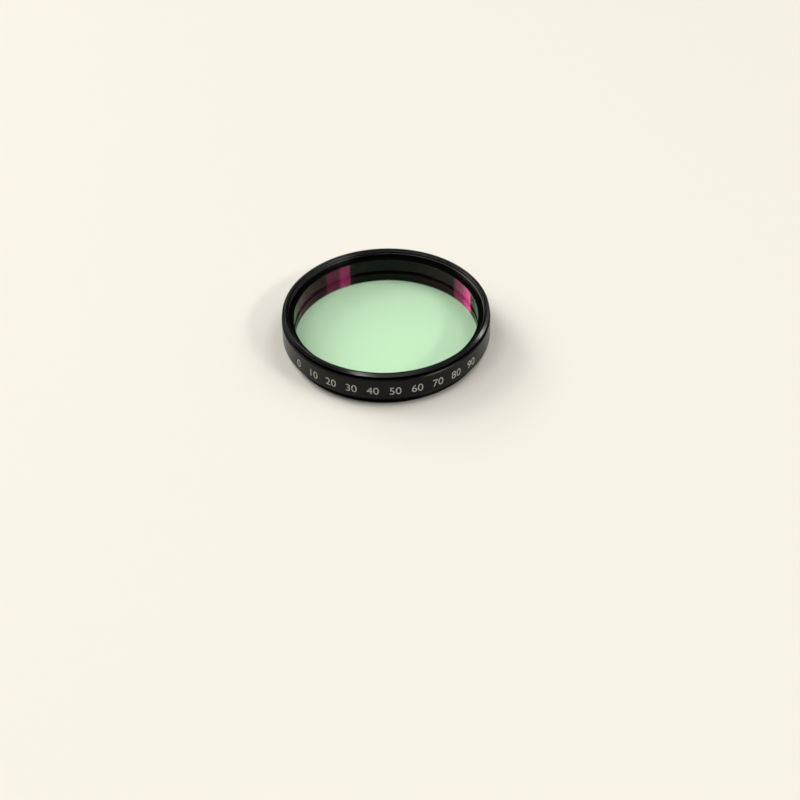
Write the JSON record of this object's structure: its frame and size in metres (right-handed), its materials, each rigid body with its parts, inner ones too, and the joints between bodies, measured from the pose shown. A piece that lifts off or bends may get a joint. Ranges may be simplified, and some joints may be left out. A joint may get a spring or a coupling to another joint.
{
  "type": "telescope filter",
  "caption": "Mounted telescope filter: coated glass disc in a threaded black anodised ring with a knurled front rim.",
  "frame": {"origin": "on the optical axis, in the plane of the spigot's lower end, which the filter stands on", "axes": "+Z along the optical axis, from the threaded spigot towards the knurled front rim"},
  "size_m": [0.0506, 0.0506, 0.0096],
  "materials": {
    "black_anodised": "black anodised, satin, finely turned",
    "black_anodised_ring": "black anodised, matt",
    "coated_glass": "polished, coated: green when looked through, magenta when it reflects"
  },
  "bodies": {
    "root": {"filter_cell": "black_anodised", "retaining_ring": "black_anodised_ring", "filter_glass": "coated_glass"}
  },
  "joints": []
}
